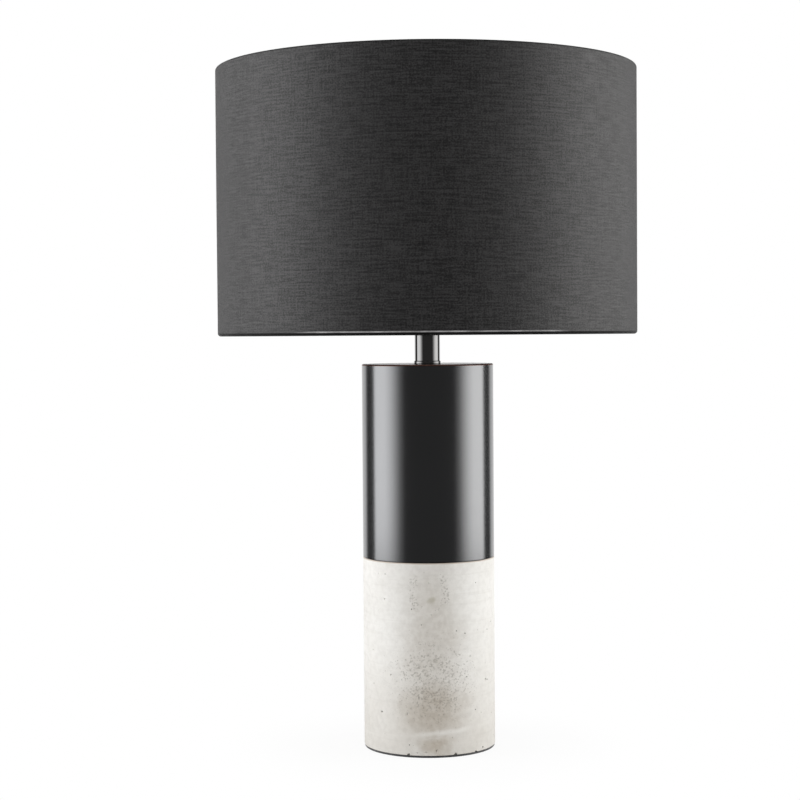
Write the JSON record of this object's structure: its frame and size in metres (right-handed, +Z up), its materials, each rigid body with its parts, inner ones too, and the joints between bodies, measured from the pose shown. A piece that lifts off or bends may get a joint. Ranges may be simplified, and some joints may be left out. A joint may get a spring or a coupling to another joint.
{
  "type": "table lamp with shade",
  "caption": "Table lamp: concrete cylinder under a black metal sleeve, slim dark nickel neck, harp-mounted bulb and a wide straight charcoal drum shade.",
  "frame": {"origin": "centre of the foot pad's underside, on the lamp's axis", "axes": "+Z up along the lamp's axis, -Y the front with the switch knob, +Y the rear with the cord inlet, +X to the right seen from the front"},
  "size_m": [0.3809, 0.381, 0.616],
  "materials": {
    "felt": "black wool felt",
    "concrete": "cast concrete, sealed matt, clouded, with pinholes",
    "black_plastic": "black moulded plastic",
    "zinc_steel": "zinc-plated steel",
    "black_lacquer": "satin black lacquer, copper brown rubbed through on the edges",
    "black_nickel": "polished black nickel",
    "insulating_card": "vulcanised fibre",
    "porcelain": "unglazed white porcelain",
    "brass": "plain brass",
    "knob_plastic": "black phenolic",
    "opal_glass": "frosted soft white glass",
    "aluminium": "rolled aluminium",
    "solder": "tin solder",
    "clear_glass": "clear glass",
    "tungsten": "tungsten wire",
    "white_wire": "white powder-coated wire",
    "shade_liner": "white styrene sheet",
    "charcoal_fabric": "charcoal woven cotton with slubs"
  },
  "bodies": {
    "lamp_base": {"foot_pad": "felt", "concrete_base": "concrete", "cord_bushing": "black_plastic", "bottom_washer": "zinc_steel", "lock_washer": "zinc_steel", "bottom_nut": "zinc_steel", "threaded_pipe": "zinc_steel", "centring_plate": "zinc_steel", "metal_sleeve": "black_lacquer", "neck_collar": "black_nickel", "neck_tube": "black_nickel", "neck_cap": "black_nickel", "harp_saddle": "black_nickel", "socket_cap": "black_nickel", "socket_set_screw": "zinc_steel", "socket_shell": "black_nickel", "socket_liner": "insulating_card", "socket_block": "porcelain", "terminal_screws": "brass", "centre_contact": "brass", "screw_shell": "brass"},
    "switch": {"switch_shaft": "brass", "switch_knob": "knob_plastic"},
    "bulb": {"bulb_glass": "opal_glass", "bulb_screw_base": "aluminium", "bulb_insulator": "black_plastic", "bulb_contact": "solder", "bulb_stem": "clear_glass", "bulb_filament": "tungsten"},
    "harp": {"harp_wire_left": "black_nickel", "harp_wire_right": "black_nickel", "harp_bridge": "black_nickel"},
    "ferrule_left": {"ferrule_left": "black_nickel"},
    "ferrule_right": {"ferrule_right": "black_nickel"},
    "swivel_stud": {"swivel_stud": "black_nickel"},
    "shade": {"spider": "white_wire", "top_ring": "white_wire", "bottom_ring": "white_wire", "shade_liner": "shade_liner", "shade_fabric": "charcoal_fabric"},
    "finial_washer": {"finial_washer": "black_nickel"},
    "finial": {"finial": "black_nickel"}
  },
  "joints": [
    {"name": "switch_turn", "type": "hinge", "parent": "lamp_base", "child": "switch", "pos_m": [0, 0, 0.4241], "axis": [0, -1, 0], "continuous": true},
    {"name": "bulb_lift", "type": "slide", "parent": "lamp_base", "child": "bulb", "axis": [0, 0, 1], "range_m": [0, 0.027]},
    {"name": "harp_lift", "type": "slide", "parent": "lamp_base", "child": "harp", "axis": [0, 0, 1], "range_m": [0, 0.18]},
    {"name": "ferrule_left_slide", "type": "slide", "parent": "harp", "child": "ferrule_left", "axis": [0, 0, 1], "range_m": [0, 0.013]},
    {"name": "ferrule_right_slide", "type": "slide", "parent": "harp", "child": "ferrule_right", "axis": [0, 0, 1], "range_m": [0, 0.013]},
    {"name": "shade_swivel", "type": "hinge", "parent": "harp", "child": "swivel_stud", "pos_m": [0, 0, 0.588], "axis": [0, 0, 1], "continuous": true},
    {"name": "shade_lift", "type": "slide", "parent": "swivel_stud", "child": "shade", "axis": [0, 0, 1], "range_m": [0, 0.24]},
    {"name": "finial_rise", "type": "slide", "parent": "shade", "child": "finial_washer", "axis": [0, 0, 1], "range_m": [0, 0.008]},
    {"name": "finial_turn", "type": "hinge", "parent": "finial_washer", "child": "finial", "pos_m": [0, 0, 0.592], "axis": [0, 0, 1], "range_deg": [0, 3060]}
  ],
  "couplings": [
    {"joint": "finial_rise", "follows": "finial_turn", "m_per_rad": 0.00014972}
  ]
}
